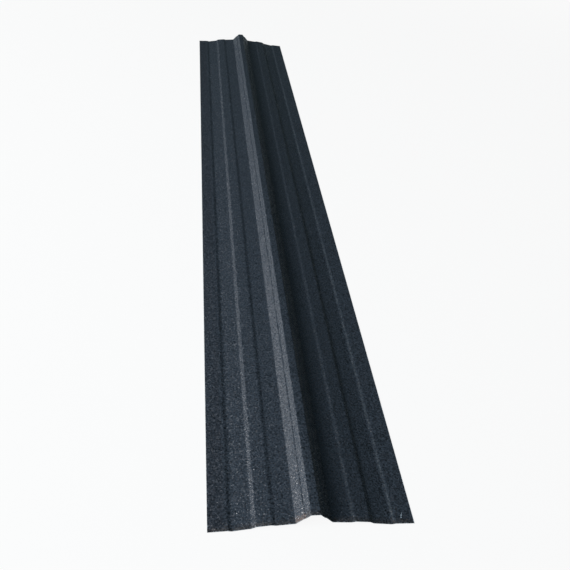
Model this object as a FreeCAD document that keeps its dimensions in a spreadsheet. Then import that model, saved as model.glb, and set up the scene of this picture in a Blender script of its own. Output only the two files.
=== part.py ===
"""Roof ridge cap: one strip of coated sheet steel, roll-formed into a raised bead between two stepped wings.

The cap lies as it is stored, on the cut edges of its wings. +Y runs along the ridge, +X across it and
+Z up. The origin is under the middle of the cap, on the surface that it lies on.
"""

import FreeCAD, Part
import Sketcher
import math
import os
from FreeCAD import Vector

# Driving dimensions, in millimetres and degrees. A flat is measured between its bends, on the underside,
# and a slope is taken from the horizontal.
SIZES = {
    "length": 2000,  # one cap, along the ridge
    "gauge": 0.5,  # sheet thickness
    "crown": 12,  # flat top of the bead
    "bead_height": 20.6,  # from the inner flats up to the crown
    "bead_slope": 48,  # of the bead's sides
    "bead_bend": 2,  # inside radius at the crown and the foot of the bead
    "ledge": 2,  # narrow flat along each side of the bead
    "ledge_slope": 20,
    "ledge_depth": 7.5,  # from the crown down to the ledge
    "ledge_bend": 1,  # inside radius beside the ledge
    "inner_flat": 26.65,  # from the foot of the bead to the first rise
    "inner_slope": 5.2,
    "rise": 2.2,  # each of the two strips that rise outwards
    "rise_slope": 14,
    "rise_bend": 10,  # inside radius at the foot and the crest of a rise
    "rib_top": 19.2,  # flat between the first rise and the drop
    "rib_slope": 7.6,
    "drop_height": 4.2,  # from the rib top down to the channel
    "drop_slope": 33,
    "drop_bend": 5,  # inside radius at the head and the foot of the drop
    "channel": 26,  # flat between the drop and the second rise
    "channel_slope": 9.6,
    "edge_band": 27.4,  # flat beside the cut edge that the cap lies on
    "edge_slope": 2.8,
}

# The straight runs of half a section, from the middle of the bead out to the cut edge, with the cells that
# hold each one's slope and the inside radius of the bend before it. All but the rises fall outwards.
RUNS = {
    "crown": (None, None),
    "upper_side": ("bead_slope", "bead_bend"),
    "ledge": ("ledge_slope", "ledge_bend"),
    "lower_side": ("bead_slope", "ledge_bend"),
    "inner_flat": ("inner_slope", "bead_bend"),
    "inner_rise": ("rise_slope", "rise_bend"),
    "rib_top": ("rib_slope", "rise_bend"),
    "drop": ("drop_slope", "drop_bend"),
    "channel": ("channel_slope", "drop_bend"),
    "edge_rise": ("rise_slope", "rise_bend"),
    "edge_band": ("edge_slope", "rise_bend"),
}
RISES = ("inner_rise", "edge_rise")
START, END = range(1, 3)  # the two ends of a sketch line or arc
FLOOR_LINE, CENTRE_LINE = range(-1, -3, -1)  # the sketch's own two axes


def size_sheet(doc):
    """Spreadsheet with one driving dimension in each row, under its alias."""
    sheet = doc.addObject("Spreadsheet::Sheet", "Sizes")
    for row, (alias, value) in enumerate(SIZES.items(), start=1):
        sheet.set(f"A{row}", alias)
        sheet.set(f"B{row}", str(value))
        sheet.setAlias(f"B{row}", alias)
    doc.recompute()
    return sheet


def origin_plane(body, role):
    return next(plane for plane in body.Origin.OriginFeatures if plane.Role == role)


def headings(sheet):
    """Direction of each run, in radians above the horizontal, going outwards."""
    found = {}
    for run, (slope, _) in RUNS.items():
        angle = math.radians(sheet.get(slope)) if slope else 0
        found[run] = angle if run in RISES else -angle
    return found


def bend_radii(sheet, heading):
    """Radius of the underside at the bend before each run. It gains the gauge where the bend turns up."""
    radii = {}
    before = None
    for run, (_, bend) in RUNS.items():
        if before:
            turns_up = heading[run] > heading[before]
            radii[run] = sheet.get(bend) + (sheet.gauge if turns_up else 0)
        before = run
    return radii


def run_lengths(sheet, heading, radii):
    """Straight length of each run. A steep one gets what its two bends leave of its fall."""
    falls = {
        "upper_side": ("crown", "ledge", sheet.ledge_depth),
        "lower_side": ("ledge", "inner_flat",
                       sheet.bead_height - sheet.ledge_depth - sheet.ledge * math.sin(-heading["ledge"])),
        "drop": ("rib_top", "channel", sheet.drop_height),
    }
    lengths = {
        "crown": sheet.crown / 2,
        "inner_rise": sheet.rise,
        "edge_rise": sheet.rise,
    }
    for run, (before, after, fall) in falls.items():
        first_bend = radii[run] * (math.cos(heading[before]) - math.cos(heading[run]))
        second_bend = radii[after] * (math.cos(heading[after]) - math.cos(heading[run]))
        lengths[run] = (fall - first_bend - second_bend) / math.sin(-heading[run])
    for run in RUNS:
        if run not in lengths:
            lengths[run] = sheet.get(run)
    return lengths


def step(heading, distance):
    return Vector(math.cos(heading), math.sin(heading), 0) * distance


def draw_bend(sketch, place, before, after, radius):
    """Arc that turns from one heading to the next. Returns its id, its first and last end, and where it stops."""
    turns_down = after < before
    side = -math.pi / 2 if turns_down else math.pi / 2
    centre = place + step(before + side, radius)
    first, last = before - side, after - side
    circle = Part.Circle(centre, Vector(0, 0, 1), radius)
    arc = sketch.addGeometry(Part.ArcOfCircle(circle, min(first, last), max(first, last)), False)
    ends = (END, START) if turns_down else (START, END)
    return arc, ends, centre + step(last, radius)


def draw_section(sketch, heading, radii, lengths):
    """Underside of half the section: straight runs with a tangent bend between each two. Returns their ids."""
    place = Vector(0, 0, 0)
    lines, arcs = {}, {}
    before = None
    for run in RUNS:
        if before:
            arc, ends, place = draw_bend(sketch, place, heading[before], heading[run], radii[run])
            arcs[run] = arc
            sketch.addConstraint(Sketcher.Constraint("Tangent", lines[before], END, arc, ends[0]))
        reached = place + step(heading[run], lengths[run])
        lines[run] = sketch.addGeometry(Part.LineSegment(place, reached), False)
        if before:
            sketch.addConstraint(Sketcher.Constraint("Tangent", arc, ends[1], lines[run], START))
        place, before = reached, run
    return lines, arcs


def bind(sketch, name, formula, *constraint):
    """Adds a constraint with a value, names it, and ties it to the spreadsheet."""
    index = sketch.addConstraint(Sketcher.Constraint(*constraint))
    sketch.renameConstraint(index, name)
    sketch.setExpression(f"Constraints.{name}", formula)


def hold_section(sketch, sheet, lines, arcs):
    """Constrains the section, so that every size in it follows its cell."""
    heading = headings(sheet)
    radii = bend_radii(sheet, heading)
    sketch.addConstraint(Sketcher.Constraint("PointOnObject", lines["crown"], START, CENTRE_LINE))
    sketch.addConstraint(Sketcher.Constraint("PointOnObject", lines["edge_band"], END, FLOOR_LINE))
    sketch.addConstraint(Sketcher.Constraint("Horizontal", lines["crown"]))

    for run, (slope, bend) in RUNS.items():
        if slope:
            formula = f"Sizes.{slope}" if run in RISES else f"-Sizes.{slope}"
            bind(sketch, f"{run}_slope", formula, "Angle", lines[run], heading[run])
            outside = " + Sizes.gauge" if radii[run] > sheet.get(bend) else ""
            bind(sketch, f"{run}_bend", f"Sizes.{bend}{outside}", "Radius", arcs[run], radii[run])

    bind(sketch, "half_crown", "Sizes.crown / 2", "Distance", lines["crown"], sheet.crown / 2)
    for rise in RISES:
        bind(sketch, rise, "Sizes.rise", "Distance", lines[rise], sheet.rise)
    for flat in ("ledge", "inner_flat", "rib_top", "channel", "edge_band"):
        bind(sketch, flat, f"Sizes.{flat}", "Distance", lines[flat], sheet.get(flat))

    heights = {
        "bead_height": ("inner_flat", "crown"),
        "ledge_depth": ("ledge", "crown"),
        "drop_height": ("channel", "rib_top"),
    }
    for height, (lower, upper) in heights.items():
        bind(sketch, height, f"Sizes.{height}", "DistanceY",
             lines[lower], START, lines[upper], END, sheet.get(height))


def ridge_cap(doc, sheet):
    """The cap: half a section, thickened to the gauge, drawn out to its length and mirrored across the ridge."""
    body = doc.addObject("PartDesign::Body", "RidgeCap")
    body.Label = "ridge_cap"

    underside = body.newObject("Sketcher::SketchObject", "underside")
    underside.AttachmentSupport = [(origin_plane(body, "XZ_Plane"), "")]
    underside.MapMode = "FlatFace"
    heading = headings(sheet)
    radii = bend_radii(sheet, heading)
    lines, arcs = draw_section(underside, heading, radii, run_lengths(sheet, heading, radii))
    hold_section(underside, sheet, lines, arcs)
    doc.recompute()
    if not underside.FullyConstrained:
        raise RuntimeError("the section isn't fully constrained")

    section = body.newObject("PartDesign::SubShapeBinder", "section")
    section.Support = [(underside, "")]
    section.OffsetFill = True
    section.OffsetOpenResult = True
    section.setExpression("Offset", "Sizes.gauge")
    doc.recompute()

    wing = body.newObject("PartDesign::Pad", "wing")
    wing.Profile = (section, [""])
    wing.SideType = "Symmetric"
    wing.setExpression("Length", "Sizes.length")
    doc.recompute()

    both_wings = body.newObject("PartDesign::Mirrored", "both_wings")
    both_wings.Originals = [wing]
    both_wings.MirrorPlane = (origin_plane(body, "YZ_Plane"), [""])
    both_wings.Refine = True
    body.Tip = both_wings
    return body


def check(doc, bodies):
    """Stops before anything is written if a feature failed or a sub-part isn't one sound solid."""
    failed = [item.Name for item in doc.Objects if {"Invalid", "Error"} & set(item.State)]
    if failed:
        raise RuntimeError(f"failed to rebuild: {failed}")
    for body in bodies:
        shape = body.Shape
        if shape.isNull() or not shape.isValid() or len(shape.Solids) != 1:
            raise RuntimeError(f"{body.Label} isn't one valid solid")


def main():
    doc = FreeCAD.newDocument("RidgeCap")
    sheet = size_sheet(doc)
    bodies = [ridge_cap(doc, sheet)]
    doc.recompute()
    check(doc, bodies)
    os.makedirs("parts", exist_ok=True)
    for body in bodies:
        body.Shape.exportStep(f"parts/{body.Label}.step")
        box = body.Shape.BoundBox
        print(f"{body.Label}: {box.XLength:.2f} x {box.YLength:.2f} x {box.ZLength:.2f} mm,"
              f" {body.Shape.Volume:.0f} cubic mm")


main()
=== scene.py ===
import math
import bpy
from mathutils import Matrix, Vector


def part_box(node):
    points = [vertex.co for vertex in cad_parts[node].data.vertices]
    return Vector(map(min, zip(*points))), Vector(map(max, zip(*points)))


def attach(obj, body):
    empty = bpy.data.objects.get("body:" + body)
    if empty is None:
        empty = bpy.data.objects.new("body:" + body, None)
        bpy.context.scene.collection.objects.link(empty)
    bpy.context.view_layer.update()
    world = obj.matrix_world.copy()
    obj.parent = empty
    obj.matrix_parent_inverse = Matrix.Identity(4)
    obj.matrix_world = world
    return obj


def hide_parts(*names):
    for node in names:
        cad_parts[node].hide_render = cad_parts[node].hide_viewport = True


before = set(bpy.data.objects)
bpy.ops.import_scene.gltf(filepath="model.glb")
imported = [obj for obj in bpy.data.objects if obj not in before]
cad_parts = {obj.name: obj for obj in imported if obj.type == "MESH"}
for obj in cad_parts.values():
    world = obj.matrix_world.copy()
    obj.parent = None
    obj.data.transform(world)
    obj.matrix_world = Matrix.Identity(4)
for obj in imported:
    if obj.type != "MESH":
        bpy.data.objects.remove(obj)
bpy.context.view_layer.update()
scene = bpy.context.scene
print("frame loaded:", sorted(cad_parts))


class Wire:  # one output socket; arithmetic on it adds Math nodes
    def __init__(self, plan, socket):
        self.plan = plan
        self.socket = socket

    def math(self, operation, *values):
        return self.plan.add("ShaderNodeMath", {"operation": operation}, dict(enumerate(values)))

    def __add__(self, other):
        return self.math("ADD", self, other)

    def __radd__(self, other):
        return self.math("ADD", other, self)

    def __sub__(self, other):
        return self.math("SUBTRACT", self, other)

    def __rsub__(self, other):
        return self.math("SUBTRACT", other, self)

    def __mul__(self, other):
        return self.math("MULTIPLY", self, other)

    def __rmul__(self, other):
        return self.math("MULTIPLY", other, self)

    def __truediv__(self, other):
        return self.math("DIVIDE", self, other)

    def __rtruediv__(self, other):
        return self.math("DIVIDE", other, self)

    def __abs__(self):
        return self.math("ABSOLUTE", self)

    def floor(self):
        return self.math("FLOOR", self)

    def least(self, other):
        return self.math("MINIMUM", self, other)

    def most(self, other):
        return self.math("MAXIMUM", self, other)

    def swing(self):  # a noise, about nought
        return self - 0.5


class NodePlan:  # adds nodes to one tree
    def __init__(self, tree):
        self.tree = tree
        tree.nodes.clear()

    def add(self, kind, settings=None, inputs=None, output=0):
        node = self.tree.nodes.new(kind)
        for name, value in (settings or {}).items():
            setattr(node, name, value)
        for name, value in (inputs or {}).items():
            if isinstance(value, Wire):
                self.tree.links.new(value.socket, node.inputs[name])
            else:
                node.inputs[name].default_value = value
        return Wire(self, node.outputs[output]) if len(node.outputs) else node

    def part(self, wire, output):  # another output of the same node
        return Wire(self, wire.socket.node.outputs[output])

    def ramp(self, value, low, high):  # 0 at low to 1 at high, eased at both ends
        inputs = {"Value": value, "From Min": low, "From Max": high}
        return self.add("ShaderNodeMapRange", {"interpolation_type": "SMOOTHSTEP"}, inputs)

    def blendColours(self, factor, first, second):
        return self.add("ShaderNodeMix", {"data_type": "RGBA"}, {0: factor, 6: first, 7: second}, 2)

    def noise(self, place, size, detail=1.0, rough=0.5):  # size is about a grain's width
        inputs = {"Vector": place, "Scale": 1.0 / size, "Detail": detail, "Roughness": rough}
        return self.add("ShaderNodeTexNoise", None, inputs)

    def vector(self, operation, *values):
        return self.add("ShaderNodeVectorMath", {"operation": operation}, dict(enumerate(values)))

    def split(self, place):
        parts = self.add("ShaderNodeSeparateXYZ", None, {0: place})
        return [self.part(parts, axis) for axis in "XYZ"]


# The camera stands where the picture was taken: left of the ridge line, past the near end.
cameraShot = {
    "location": (-0.18306, -1.48543, 0.85844),
    "turn": (50.7204, -5.8992, -6.145),  # degrees
    "lens": 40.718,
    "sensor": 36.0,
    "nearest": 0.01,
}


def placeCamera(shot):
    data = bpy.data.cameras.new("shotCamera")
    data.lens = shot["lens"]
    data.sensor_width = shot["sensor"]
    data.clip_start = shot["nearest"]
    camera = bpy.data.objects.new("shotCamera", data)
    camera.location = shot["location"]
    camera.rotation_euler = [math.radians(angle) for angle in shot["turn"]]
    scene.collection.objects.link(camera)
    scene.camera = camera
    print("camera placed")


# The cap's section, in metres and degrees. A flat is measured between its bends, on the underside.
capSection = {
    "gauge": 0.0005,
    "crown": 0.012,
    "beadHeight": 0.0206,
    "beadSlope": 48.0,
    "beadBend": 0.002,  # inside radius
    "ledge": 0.002,  # narrow flat along each side of the bead
    "ledgeSlope": 20.0,
    "ledgeDepth": 0.0075,
    "ledgeBend": 0.001,
    "innerFlat": 0.02665,
    "innerSlope": 5.2,
    "rise": 0.0022,  # the two strips that rise outwards
    "riseSlope": 14.0,
    "riseBend": 0.01,
    "ribTop": 0.0192,
    "ribSlope": 7.6,
    "dropHeight": 0.0042,
    "dropSlope": 33.0,
    "dropBend": 0.005,
    "channel": 0.026,
    "channelSlope": 9.6,
    "edgeBand": 0.0274,
    "edgeSlope": 2.8,
}
riseFoot = {"inner": 4, "outer": 8}  # the corner at the foot of each rise, counted from the crown
capMesh = {
    "bendSteps": 4,
    "flatStep": 0.006,  # widest strip on a flat
    "lengthSteps": 301,
    "waveHeight": 0.0003,  # how far the flats stray from true
    "waveLength": 0.28,
    "waveWidth": 0.06,
    "seed": 3.0,
    "sharpFrom": 40.0,  # degrees
}


def sectionCorners(size):
    # Sharp corners of half the underside, from the crown out to the cut edge, each with its bend radius.
    steep = size["beadSlope"]
    slopes = [  # of each straight run, going outwards
        0.0, -steep, -size["ledgeSlope"], -steep, -size["innerSlope"], size["riseSlope"],
        -size["ribSlope"], -size["dropSlope"], -size["channelSlope"], size["riseSlope"], -size["edgeSlope"],
    ]
    headings = [math.radians(slope) for slope in slopes]
    turns = [after - before for before, after in zip(headings, headings[1:])]
    names = ["bead", "ledge", "ledge", "bead", "rise", "rise", "drop", "drop", "rise", "rise"]
    bends = [size[name + "Bend"] for name in names]
    radii = [bend + (size["gauge"] if turn > 0.0 else 0.0) for bend, turn in zip(bends, turns)]
    # What each rounded corner takes off the runs beside it.
    cuts = [radius * math.tan(abs(turn) / 2) for radius, turn in zip(radii, turns)]

    def steepRun(run, fall):  # from corner to corner, for the fall between the flats beside it
        before = cuts[run - 1] * math.sin(headings[run - 1])
        after = cuts[run] * math.sin(headings[run + 1])
        return (fall + before + after) / math.sin(-headings[run])

    lowerFall = size["beadHeight"] - size["ledgeDepth"] + size["ledge"] * math.sin(headings[2])
    runs = [
        size["crown"] / 2 + cuts[0],
        steepRun(1, size["ledgeDepth"]),
        cuts[1] + size["ledge"] + cuts[2],
        steepRun(3, lowerFall),
        cuts[3] + size["innerFlat"] + cuts[4],
        cuts[4] + size["rise"] + cuts[5],
        cuts[5] + size["ribTop"] + cuts[6],
        steepRun(7, size["dropHeight"]),
        cuts[7] + size["channel"] + cuts[8],
        cuts[8] + size["rise"] + cuts[9],
        cuts[9] + size["edgeBand"],
    ]
    corners = []
    place = Vector((0.0, 0.0))
    for run, heading in zip(runs, headings):
        place = place + run * Vector((math.cos(heading), math.sin(heading)))
        corners.append(place)
    floor = corners[-1].y
    return [(corner.x, corner.y - floor, radius) for corner, radius in zip(corners, radii + [0.0])]


def sectionLine(size):
    # The whole underside as one line of edges, with the bend radius on each corner.
    half = sectionCorners(size)
    points = [(-x, z, bend) for x, z, bend in reversed(half)] + half
    mesh = bpy.data.meshes.new("sectionLine")
    edges = [(i, i + 1) for i in range(len(points) - 1)]
    mesh.from_pydata([(x, 0.0, z) for x, z, bend in points], edges, [])
    bends = mesh.attributes.new("bend", "FLOAT", "POINT")
    bends.data.foreach_set("value", [bend for x, z, bend in points])
    return mesh


def sweepTree():
    tree = bpy.data.node_groups.new("capSweep", "GeometryNodeTree")
    tree.is_modifier = True
    kinds = {
        "Section": "NodeSocketGeometry",
        "Length": "NodeSocketFloat",
        "Length Steps": "NodeSocketInt",
        "Bend Steps": "NodeSocketInt",
        "Flat Step": "NodeSocketFloat",
        "Wave Height": "NodeSocketFloat",
        "Wave Length": "NodeSocketFloat",
        "Wave Width": "NodeSocketFloat",
        "Crown": "NodeSocketFloat",
        "Reach": "NodeSocketFloat",
        "Seed": "NodeSocketFloat",
        "Coat": "NodeSocketMaterial",
    }
    sockets = {}
    for name, kind in kinds.items():
        sockets[name] = tree.interface.new_socket(name, in_out="INPUT", socket_type=kind).identifier
    tree.interface.new_socket("Sheet", in_out="OUTPUT", socket_type="NodeSocketGeometry")
    plan = NodePlan(tree)
    section = plan.add("NodeGroupInput")
    given = {name: plan.part(section, name) for name in kinds}

    # Round the corners, then divide the flats.
    line = plan.add("GeometryNodeMeshToCurve", None, {"Mesh": given["Section"]})
    bend = plan.add("GeometryNodeInputNamedAttribute", {"data_type": "FLOAT"}, {"Name": "bend"})
    rounded = plan.add("GeometryNodeFilletCurve", {"mode": "POLY"},
                       {"Curve": line, "Count": given["Bend Steps"], "Radius": bend})
    index = plan.add("GeometryNodeInputIndex")
    place = plan.add("GeometryNodeInputPosition")
    following = plan.add("GeometryNodeFieldAtIndex", {"data_type": "FLOAT_VECTOR", "domain": "POINT"},
                         {"Value": place, "Index": index + 1})
    gap = plan.add("ShaderNodeVectorMath", {"operation": "DISTANCE"}, {0: place, 1: following}, "Value")
    cuts = (gap / given["Flat Step"]).floor()
    divided = plan.add("GeometryNodeSubdivideCurve", None, {"Curve": rounded, "Cuts": cuts})
    count = plan.add("GeometryNodeAttributeDomainSize", {"component": "CURVE"}, {"Geometry": divided})

    # A grid takes the section's points across and runs the length.
    grid = plan.add("GeometryNodeMeshGrid", None, {
        "Size X": 1.0, "Size Y": given["Length"], "Vertices X": count, "Vertices Y": given["Length Steps"],
    })
    column = plan.add("FunctionNodeIntegerMath", {"operation": "DIVIDE_FLOOR"},
                      {0: index, 1: given["Length Steps"]})
    onLine = plan.add("GeometryNodeSampleIndex", {"data_type": "FLOAT_VECTOR", "domain": "POINT"},
                      {"Geometry": divided, "Value": place, "Index": column})
    across = plan.add("ShaderNodeSeparateXYZ", None, {0: onLine}, "X")
    height = plan.part(across, "Z")
    along = plan.add("ShaderNodeSeparateXYZ", None, {0: place}, "Y")

    # Slow waves in the flats, none on the crown or the cut edges.
    crownEase, edgeEase = 3.0, 2.0  # half crowns over which the waves come in
    wavePlace = plan.add("ShaderNodeCombineXYZ", None,
                         {0: across / given["Wave Width"], 1: along / given["Wave Length"]})
    wave = plan.add("ShaderNodeTexNoise", {"noise_dimensions": "4D"},
                    {"Vector": wavePlace, "W": given["Seed"], "Scale": 1.0, "Detail": 1.0})
    offCrown = plan.ramp(abs(across), given["Crown"], given["Crown"] * crownEase)
    offEdge = plan.ramp(given["Reach"] - abs(across), 0.0, given["Crown"] * edgeEase)
    lift = wave.swing() * given["Wave Height"] * 2.0 * offCrown * offEdge  # a swing is half each way
    shaped = plan.add("ShaderNodeCombineXYZ", None, {0: across, 1: along, 2: height + lift})
    sheet = plan.add("GeometryNodeSetPosition", None, {"Geometry": grid, "Position": shaped})
    smooth = plan.add("GeometryNodeSetShadeSmooth", None, {0: sheet})
    whole = plan.add("GeometryNodeRealizeInstances", None, {0: smooth})
    coated = plan.add("GeometryNodeSetMaterial", None, {"Geometry": whole, "Material": given["Coat"]})
    plan.add("NodeGroupOutput", None, {0: coated})
    return tree, sockets


def buildCap(size, mesh, coat, backing, cutEdge):
    low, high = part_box("ridge_cap")
    lineObject = bpy.data.objects.new("capLine", sectionLine(size))
    scene.collection.objects.link(lineObject)
    tree, sockets = sweepTree()
    sweep = lineObject.modifiers.new("sweep", "NODES")
    sweep.node_group = tree
    values = {
        "Length": high.y - low.y,
        "Length Steps": mesh["lengthSteps"],
        "Bend Steps": mesh["bendSteps"],
        "Flat Step": mesh["flatStep"],
        "Wave Height": mesh["waveHeight"],
        "Wave Length": mesh["waveLength"],
        "Wave Width": mesh["waveWidth"],
        "Crown": size["crown"] / 2 + size["beadBend"],
        "Reach": high.x,
        "Seed": mesh["seed"],
        "Coat": coat,
    }
    for name, value in values.items():
        sweep[sockets[name]] = value
    thicken = lineObject.modifiers.new("thicken", "SOLIDIFY")
    thicken.thickness = size["gauge"]
    thicken.offset = 1.0
    thicken.use_even_offset = True
    thicken.use_quality_normals = True
    thicken.material_offset = 1
    thicken.material_offset_rim = 2
    graph = bpy.context.evaluated_depsgraph_get()
    made = bpy.data.meshes.new_from_object(lineObject.evaluated_get(graph))
    made.name = "ridgeSheet"
    made.materials.clear()
    for material in (coat, backing, cutEdge):
        made.materials.append(material)
    made.set_sharp_from_angle(angle=math.radians(mesh["sharpFrom"]))
    bpy.data.objects.remove(lineObject)
    piece = bpy.data.objects.new("ridgeSheet", made)
    scene.collection.objects.link(piece)
    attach(piece, "root")
    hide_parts("ridge_cap")
    print("cap:", len(made.vertices), "points,", len(made.polygons), "faces")


def startMaterial(name):
    material = bpy.data.materials.new(name)
    material.use_nodes = True
    plan = NodePlan(material.node_tree)
    return material, plan, plan.add("ShaderNodeTexCoord", None, None, "Object")


def finishMaterial(plan, inputs):
    shader = plan.add("ShaderNodeBsdfPrincipled", None, inputs)
    plan.add("ShaderNodeOutputMaterial", None, {"Surface": shader})


def edgeGap(plan, place, reach):  # distance to the nearest cut edge
    x, y, z = plan.split(place)
    return (reach.x - abs(x)).least(reach.y - abs(y))


grainedCoat = {
    "ground": (0.0290, 0.0395, 0.0540, 1.0),
    "fleck": (0.0345, 0.0470, 0.0630, 1.0),
    "fleckFrom": (0.5, 0.66),
    # painted shade: the colour of the grain's pits, darker as if shaded
    "shadedPit": (0.0160, 0.0220, 0.0310, 1.0),
    "pitSize": 0.0024,
    "pitFrom": (0.47, 0.33),
    "facet": 0.0027,  # width of the largest facets of the grain
    "facetTilt": 1.65,
    "facetBreak": 0.5,  # how far smaller facets break up the large ones
    "fineGrain": 0.0011,
    "fineDepth": 0.00006,
    "roughness": 0.26,
    "pitRoughness": 0.42,  # added in the pits
    "stainAndShadeRoughness": 0.12,
    "cloudRoughness": 0.08,
    "cloud": 0.05,  # size of the faint patches
    "cloudDepth": 0.16,
    "drawOut": 0.12,  # how fast patches and dashes change along the cap, against across it
    "rubAndHighlight": (0.0780, 0.0960, 0.1080, 1.0),  # rubbed crests of the right wing's rises, lit up along them as a painted highlight
    "rubAndHighlightWidth": 0.0030,
    "rubAndHighlightShare": {"inner": 0.15, "outer": 0.45},
    "dash": 0.0022,
    "dashFrom": (0.4, 0.62),
    # painted shade: the colour of the darker band beside the left edge
    "leftBandShade": (0.0185, 0.0235, 0.0330, 1.0),
    "leftBandShadeFrom": (-0.125, -0.133),  # the band beside the left edge, darkened as painted shade
    "leftBandShadePatch": (0.2, 0.6),
    "leftBandShadeShare": 0.55,
    "stain": (0.0330, 0.0320, 0.0330, 1.0),  # dirt along the near end
    "stainReach": 0.011,
    "stainRagged": 0.022,
    "stainShare": 0.7,
    "rust": (0.0900, 0.0680, 0.0620, 1.0),  # where that end cuts the bead's left side
    "rustPlace": -0.0200,
    "rustWidth": (0.0090, 0.0045),
    "bared": (0.2600, 0.3300, 0.3900, 1.0),  # primer in chips and in the nick
    "chip": (0.0007, 0.00028),
    "chipRagged": 0.0028,
    "chipShare": 0.5,
    "nickPlace": (0.1357, -0.987),
    "nickSize": (0.0008, 0.0055),
    "nickSkew": 0.244,
    "nickRagged": 0.8,
    "nickEdge": (1.0, 0.7),
}


def makeCoat(look, size, reach):
    material, plan, place = startMaterial("grainedCoat")
    x, y, z = plan.split(place)
    drawnOut = plan.vector("MULTIPLY", place, (1.0, look["drawOut"], 1.0))

    # Grain: facets that lean every way, with pits between them, darkened there as painted shade.
    facet = plan.noise(place, look["facet"], rough=look["facetBreak"])
    hollow = plan.noise(place, look["pitSize"])
    shadedPit = plan.ramp(hollow, *look["pitFrom"])
    colour = plan.blendColours(plan.ramp(hollow, *look["fleckFrom"]), look["ground"], look["fleck"])
    # painted shade in the pits of the grain
    colour = plan.blendColours(shadedPit, colour, look["shadedPit"])

    # Faint patches, the rubbed crests with their painted highlight, and the left band darkened as painted
    # shade.
    cloud = plan.noise(drawnOut, look["cloud"], detail=2.0)
    colour = plan.add("ShaderNodeVectorMath", {"operation": "SCALE"},
                      {0: colour, "Scale": 1.0 + cloud.swing() * look["cloudDepth"]})
    dash = plan.ramp(plan.noise(drawnOut, look["dash"], detail=2.0, rough=0.7), *look["dashFrom"])
    corners = sectionCorners(size)
    rubAndHighlight = 0.0
    for rise, share in look["rubAndHighlightShare"].items():
        foot = riseFoot[rise]
        middle = (corners[foot][0] + corners[foot + 1][0]) / 2
        rubAndHighlight = plan.ramp(abs(x - middle), look["rubAndHighlightWidth"], 0.0) * share + rubAndHighlight
    # painted highlight, with some rubbing, in dashes along the right wing's rise crests
    colour = plan.blendColours(rubAndHighlight * dash, colour, look["rubAndHighlight"])
    band = plan.ramp(x, *look["leftBandShadeFrom"])
    # painted shade: the left band is darkened in patches
    bandShade = band * plan.ramp(cloud, *look["leftBandShadePatch"]) * look["leftBandShadeShare"]
    colour = plan.blendColours(bandShade, colour, look["leftBandShade"])

    # Dirt and rust at the near end.
    fromEnd = y + reach.y + hollow.swing() * look["stainRagged"]
    stain = plan.ramp(fromEnd, look["stainReach"], 0.0)
    rust = plan.ramp(abs(x - look["rustPlace"]), *look["rustWidth"]) * stain
    colour = plan.blendColours(stain * look["stainShare"], colour, look["stain"])
    colour = plan.blendColours(rust, colour, look["rust"])

    # Chips along the cut edges and one nick on the right band.
    ragged = edgeGap(plan, place, reach) + facet.swing() * look["chipRagged"]
    chip = plan.ramp(ragged, *look["chip"])
    nickX, nickY = look["nickPlace"]
    nickWidth, nickLength = look["nickSize"]
    along = y - nickY
    aside = abs(x - nickX - along * look["nickSkew"]) / nickWidth
    inNick = aside.most(abs(along) / nickLength) + hollow.swing() * look["nickRagged"]
    bared = (chip * look["chipShare"]).most(plan.ramp(inNick, *look["nickEdge"]))
    colour = plan.blendColours(bared, colour, look["bared"])

    rough = look["roughness"] + shadedPit * look["pitRoughness"] + (bandShade + stain) * look["stainAndShadeRoughness"]
    rough = rough + cloud.swing() * look["cloudRoughness"]
    lean = plan.vector("SUBTRACT", plan.part(facet, "Color"), (0.5, 0.5, 0.5))
    upright = plan.add("ShaderNodeNewGeometry", None, None, "Normal")
    tilted = plan.vector("MULTIPLY_ADD", lean, [look["facetTilt"]] * 3, upright)
    fine = plan.noise(place, look["fineGrain"])
    bump = plan.add("ShaderNodeBump", None, {
        "Height": fine - bared,
        "Distance": look["fineDepth"],
        "Normal": plan.vector("NORMALIZE", tilted),
    })
    finishMaterial(plan, {"Base Color": colour, "Roughness": rough, "Normal": bump})
    return material


backingCoat = {
    "primer": (0.34, 0.35, 0.35, 1.0),
    "thin": (0.25, 0.26, 0.27, 1.0),  # where less primer was rolled on
    "thinFrom": (0.4, 0.7),
    "dust": (0.42, 0.40, 0.37, 1.0),
    "dustFrom": (0.5, 0.72),
    "dustShare": 0.6,
    "patch": 0.03,
    "patchRoughness": 0.3,
    "drawOut": 0.03,  # how fast roll marks change along the cap, against across it
    "rollMark": 0.0025,
    "markDepth": 0.00003,
    "peel": 0.0016,
    "peelDepth": 0.00004,
    "roughness": 0.52,
    "scuffed": (0.50, 0.51, 0.53, 1.0),  # zinc beside the cut edges
    "scuffWidth": 0.0018,
    "scuffRagged": 0.004,
    "scuffPolish": 0.12,
    "scuffMetal": 0.7,
}


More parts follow.
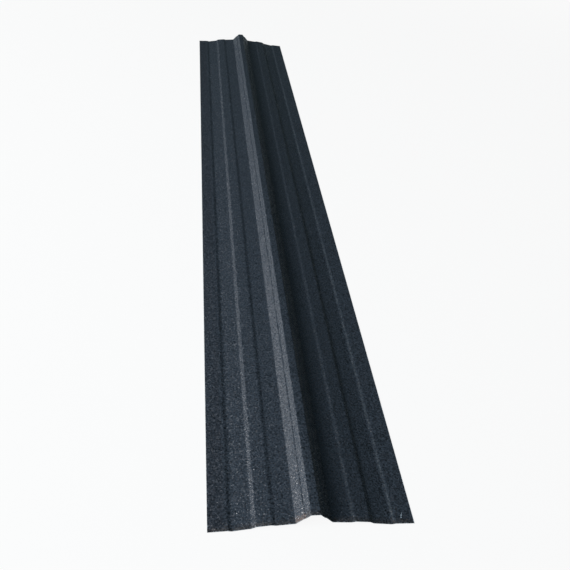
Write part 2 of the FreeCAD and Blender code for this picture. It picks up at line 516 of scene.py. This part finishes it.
def makeBacking(look, reach):
    material, plan, place = startMaterial("backingCoat")
    drawnOut = plan.vector("MULTIPLY", place, (1.0, look["drawOut"], 1.0))
    patch = plan.noise(place, look["patch"], detail=3.0)
    mark = plan.noise(drawnOut, look["rollMark"], detail=2.0, rough=0.6)
    peel = plan.noise(place, look["peel"])
    colour = plan.blendColours(plan.ramp(mark, *look["thinFrom"]), look["primer"], look["thin"])
    dust = plan.ramp(patch, *look["dustFrom"]) * look["dustShare"]
    colour = plan.blendColours(dust, colour, look["dust"])
    ragged = edgeGap(plan, place, reach) + mark.swing() * look["scuffRagged"]
    scuff = plan.ramp(ragged, look["scuffWidth"], 0.0)
    colour = plan.blendColours(scuff, colour, look["scuffed"])
    rough = look["roughness"] + patch.swing() * look["patchRoughness"] - scuff * look["scuffPolish"]
    rolled = plan.add("ShaderNodeBump", None, {"Height": mark, "Distance": look["markDepth"]})
    bump = plan.add("ShaderNodeBump", None, {
        "Height": peel,
        "Distance": look["peelDepth"],
        "Normal": rolled,
    })
    finishMaterial(plan, {
        "Base Color": colour,
        "Roughness": rough,
        "Normal": bump,
        "Metallic": scuff * look["scuffMetal"],
    })
    return material


cutSteel = {
    "steel": (0.34, 0.35, 0.37, 1.0),
    "rust": (0.13, 0.075, 0.045, 1.0),
    "rustPatch": 0.012,
    "rustFrom": (0.46, 0.62),
    "rustBreak": (0.3, 0.55),  # the shear marks break up the rust
    "rustRoughness": 0.35,
    "rustHeight": 0.5,
    "shear": 0.0006,  # width of the shear marks
    "shearDraw": 0.1,  # how fast they change up the cut, against along it
    "shearDepth": 0.00006,
    "shearRoughness": 0.2,
    "roughness": 0.42,
}


def makeCutEdge(look):
    material, plan, place = startMaterial("cutSteel")
    drawnUp = plan.vector("MULTIPLY", place, (1.0, 1.0, look["shearDraw"]))
    patch = plan.noise(place, look["rustPatch"], detail=4.0, rough=0.65)
    shear = plan.noise(drawnUp, look["shear"], detail=2.0)
    rust = plan.ramp(patch, *look["rustFrom"]) * plan.ramp(shear, *look["rustBreak"])
    colour = plan.blendColours(rust, look["steel"], look["rust"])
    rough = look["roughness"] + rust * look["rustRoughness"] + shear.swing() * look["shearRoughness"]
    bump = plan.add("ShaderNodeBump", None, {
        "Height": shear + rust * look["rustHeight"],
        "Distance": look["shearDepth"],
    })
    finishMaterial(plan, {
        "Base Color": colour,
        "Roughness": rough,
        "Normal": bump,
        "Metallic": 1.0 - rust,
    })
    return material


# A pale floor in a room with a dim, cool ceiling, and soft lamps.
studio = {
    "floorSize": 40.0,
    "floorDrop": 0.0005,  # the floor is just under the cut edges
    "floorColour": (0.61, 0.69, 0.71, 1.0),
    "floorWhite": 0.91,  # share of plain white in what is seen of the floor
    "floorFade": (1.2, 5.0),  # the shadow's floor ends in plain white over these distances
    "mirrorWhite": 0.03,  # share of that white in reflections
    "white": (1.0, 1.0, 1.0, 1.0),
    "ceiling": (0.42, 0.82, 0.98, 1.0),
    "ceilingGlow": 0.058,
    "daylight": (1.0, 0.98, 0.98),
    "lampDistance": 4.5,
    "lamps": {  # bearing and height in degrees, width and power
        "nearWindow": (205.0, 24.0, 2.0, 260.0),
        "leftWindow": (155.0, 10.0, 1.55, 36.0),
        "farWindow": (130.0, 24.0, 1.55, 18.0),
        "highWindow": (230.0, 38.0, 1.55, 34.0),
    },
}


def seenWhite(plan, mirrorShare):  # all of it to the camera, a share of it in reflections
    direct = plan.add("ShaderNodeLightPath", None, None, "Is Camera Ray")
    mirrored = plan.part(direct, "Is Glossy Ray").most(plan.part(direct, "Is Transmission Ray"))
    return direct.most(mirrored * mirrorShare)


def buildStage(look):
    half = look["floorSize"] / 2
    mesh = bpy.data.meshes.new("floor")
    corners = [(-half, -half), (half, -half), (half, half), (-half, half)]
    mesh.from_pydata([(x, y, -look["floorDrop"]) for x, y in corners], [], [(0, 1, 2, 3)])
    floor = bpy.data.objects.new("floor", mesh)
    scene.collection.objects.link(floor)
    material, plan, place = startMaterial("paleFloor")
    seen = seenWhite(plan, look["mirrorWhite"])
    away = plan.add("ShaderNodeVectorMath", {"operation": "LENGTH"}, {0: place}, "Value")
    share = plan.ramp(away, *look["floorFade"]) * (1.0 - look["floorWhite"]) + look["floorWhite"]
    matt = plan.add("ShaderNodeBsdfDiffuse", None, {"Color": look["floorColour"]})
    white = plan.add("ShaderNodeEmission", None, {"Color": look["white"], "Strength": 1.0})
    mixed = plan.add("ShaderNodeMixShader", None, {0: seen * share, 1: matt, 2: white})
    plan.add("ShaderNodeOutputMaterial", None, {"Surface": mixed})
    mesh.materials.append(material)
    print("floor laid")


def hangLamp(name, colour, distance, bearing, height, width, power):
    turn, rise = math.radians(bearing), math.radians(height)
    lamp = bpy.data.lights.new(name, "AREA")
    lamp.size = width
    lamp.energy = power
    lamp.color = colour
    hung = bpy.data.objects.new(name, lamp)
    flat = distance * math.cos(rise)
    place = Vector((flat * math.cos(turn), flat * math.sin(turn), distance * math.sin(rise)))
    hung.location = place
    hung.rotation_euler = (-place).to_track_quat("-Z", "Y").to_euler()
    hung.visible_camera = False
    scene.collection.objects.link(hung)


def lightRoom(look):
    world = bpy.data.worlds.new("room")
    scene.world = world
    world.use_nodes = True
    plan = NodePlan(world.node_tree)
    seen = seenWhite(plan, look["mirrorWhite"])
    dim = plan.add("ShaderNodeBackground", None,
                   {"Color": look["ceiling"], "Strength": look["ceilingGlow"]})
    white = plan.add("ShaderNodeBackground", None, {"Color": look["white"], "Strength": 1.0})
    room = plan.add("ShaderNodeMixShader", None, {0: seen, 1: dim, 2: white})
    plan.add("ShaderNodeOutputWorld", None, {"Surface": room})
    for name, lamp in look["lamps"].items():
        hangLamp(name, look["daylight"], look["lampDistance"], *lamp)
    print("lamps hung:", len(look["lamps"]))


placeCamera(cameraShot)
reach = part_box("ridge_cap")[1]
coat = makeCoat(grainedCoat, capSection, reach)
backing = makeBacking(backingCoat, reach)
cutEdge = makeCutEdge(cutSteel)
print("materials made")
buildCap(capSection, capMesh, coat, backing, cutEdge)
buildStage(studio)
lightRoom(studio)
scene.view_settings.view_transform = "Standard"
